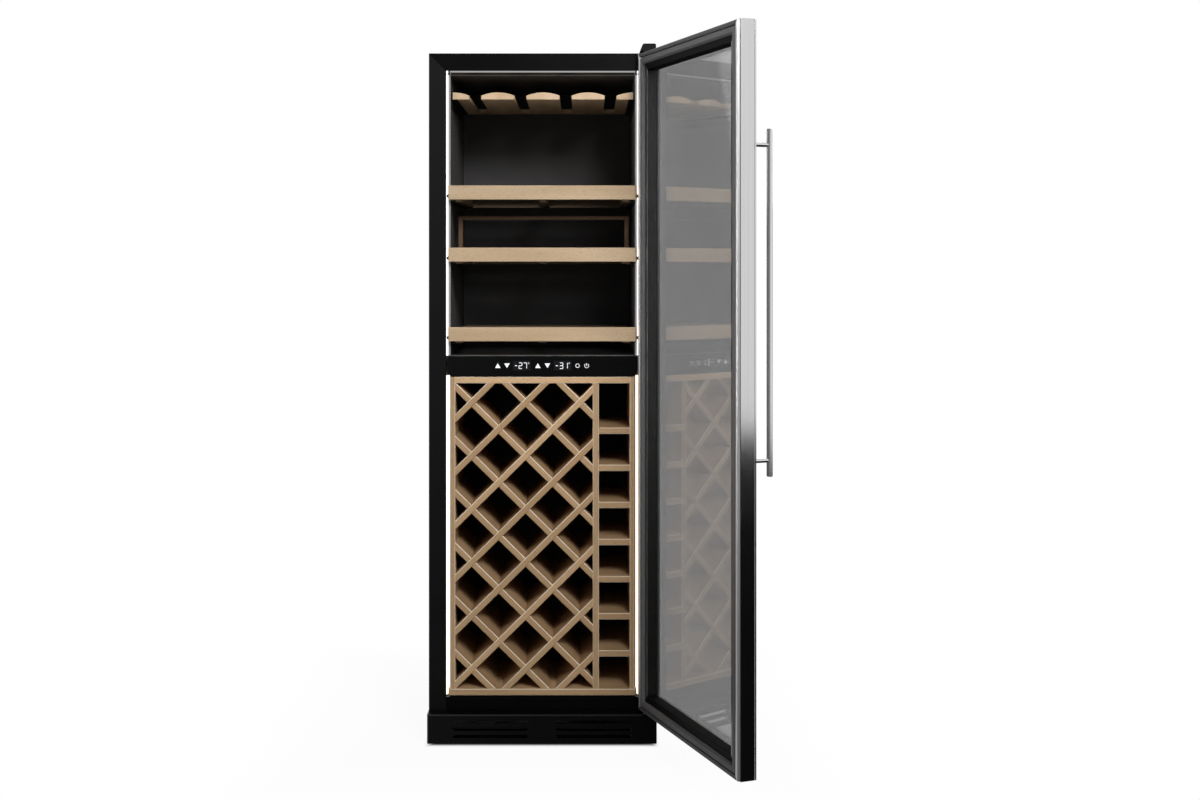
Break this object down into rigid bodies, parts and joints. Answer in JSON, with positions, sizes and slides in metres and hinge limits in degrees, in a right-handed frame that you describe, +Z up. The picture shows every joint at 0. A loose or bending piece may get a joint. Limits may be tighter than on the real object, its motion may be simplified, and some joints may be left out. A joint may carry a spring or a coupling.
{
  "type": "built-in wine cooler",
  "caption": "Tall built-in dual-zone wine cooler with a hinged glass door, sliding wooden shelves, stemware rack and lattice bottle rack.",
  "frame": {"origin": "on the floor, below the middle of the cabinet's plan, without the door", "axes": "+X to the right seen from the front, the front faces -Y, +Z up"},
  "size_m": [0.8364, 1.1125, 1.82],
  "materials": {
    "case_black": "satin",
    "frame_black": "satin",
    "door_black": "satin",
    "galvanised": "satin",
    "insulation": "matte",
    "liner_black": "matte",
    "lens_white": "satin",
    "panel_black": "gloss",
    "board_green": "satin",
    "plastic_black": "satin",
    "beech": "satin",
    "runner_steel": "satin",
    "compressor_black": "gloss",
    "bare_aluminium": "satin",
    "rubber_black": "matte",
    "gasket_grey": "matte",
    "tinted_glass": "gloss",
    "nylon_white": "satin",
    "satin_steel": "satin"
  },
  "bodies": {
    "cabinet": {"outer_panels": "case_black", "back_panel": "galvanised", "base_pan": "galvanised", "foam_insulation": "insulation", "liner_upper": "liner_black", "liner_lower": "liner_black", "trim_sides": "frame_black", "trim_rails": "frame_black", "light_lenses": "lens_white", "control_housing": "plastic_black", "control_glass": "panel_black", "control_board": "board_green", "plinth": "frame_black", "glass_rack": "beech", "glass_rack_brackets": "runner_steel", "shelf_tracks": "runner_steel", "rack_sides": "beech", "rack_top_rail": "beech", "rack_base": "beech", "rack_front_rail": "beech", "rack_divider": "beech", "cubby_shelves": "beech", "rising_boards": "beech", "falling_boards": "beech", "hinge_top_bracket": "galvanised", "hinge_cover": "plastic_black", "hinge_bottom_bracket": "galvanised", "compressor": "compressor_black", "condenser": "bare_aluminium", "condenser_fan_frame": "plastic_black", "evaporators": "bare_aluminium", "air_ducts": "liner_black", "drip_tray": "plastic_black", "power_inlet": "plastic_black"},
    "door": {"door_stiles": "door_black", "door_rails": "door_black", "door_glass_outer": "tinted_glass", "door_glass_inner": "tinted_glass", "door_spacer": "plastic_black", "door_gasket": "gasket_grey", "door_bushes": "nylon_white", "handle_bar": "satin_steel", "handle_posts": "satin_steel"},
    "condenser_fan": {"fan_condenser": "plastic_black"},
    "upper_fan": {"fan_upper": "plastic_black"},
    "lower_fan": {"fan_lower": "plastic_black"},
    "shelf_upper": {"shelf_fascia_upper": "beech", "shelf_deck_upper": "beech", "shelf_runners_upper": "runner_steel"},
    "shelf_middle": {"shelf_fascia_middle": "beech", "shelf_deck_middle": "beech", "shelf_runners_middle": "runner_steel", "display_stand": "beech"},
    "shelf_lower": {"shelf_fascia_lower": "beech", "shelf_deck_lower": "beech", "shelf_runners_lower": "runner_steel"},
    "levelling_foot_front_left": {"foot_front_left": "rubber_black"},
    "levelling_foot_front_right": {"foot_front_right": "rubber_black"},
    "levelling_foot_rear_left": {"foot_rear_left": "rubber_black"},
    "levelling_foot_rear_right": {"foot_rear_right": "rubber_black"}
  },
  "joints": [
    {"name": "door_hinge", "type": "hinge", "parent": "cabinet", "child": "door", "pos_m": [0.2805, -0.2953, 0.94], "axis": [0, 0, 1], "range_deg": [-110, 10]},
    {"name": "shelf_upper_slide", "type": "slide", "parent": "cabinet", "child": "shelf_upper", "axis": [0, -1, 0], "range_m": [0, 0.3]},
    {"name": "shelf_middle_slide", "type": "slide", "parent": "cabinet", "child": "shelf_middle", "axis": [0, -1, 0], "range_m": [0, 0.3]},
    {"name": "shelf_lower_slide", "type": "slide", "parent": "cabinet", "child": "shelf_lower", "axis": [0, -1, 0], "range_m": [0, 0.3]},
    {"name": "foot_front_left_level", "type": "slide", "parent": "cabinet", "child": "levelling_foot_front_left", "axis": [0, 0, -1], "range_m": [0, 0.015]},
    {"name": "foot_front_right_level", "type": "slide", "parent": "cabinet", "child": "levelling_foot_front_right", "axis": [0, 0, -1], "range_m": [0, 0.015]},
    {"name": "foot_rear_left_level", "type": "slide", "parent": "cabinet", "child": "levelling_foot_rear_left", "axis": [0, 0, -1], "range_m": [0, 0.015]},
    {"name": "foot_rear_right_level", "type": "slide", "parent": "cabinet", "child": "levelling_foot_rear_right", "axis": [0, 0, -1], "range_m": [0, 0.015]},
    {"name": "condenser_fan_spin", "type": "hinge", "parent": "cabinet", "child": "condenser_fan", "pos_m": [-0.1342, 0.175, 0.092], "axis": [1, 0, 0], "continuous": true},
    {"name": "upper_fan_spin", "type": "hinge", "parent": "cabinet", "child": "upper_fan", "pos_m": [0, 0.1985, 1.596], "axis": [0, -1, 0], "continuous": true},
    {"name": "lower_fan_spin", "type": "hinge", "parent": "cabinet", "child": "lower_fan", "pos_m": [0, 0.1985, 0.805], "axis": [0, -1, 0], "continuous": true}
  ]
}
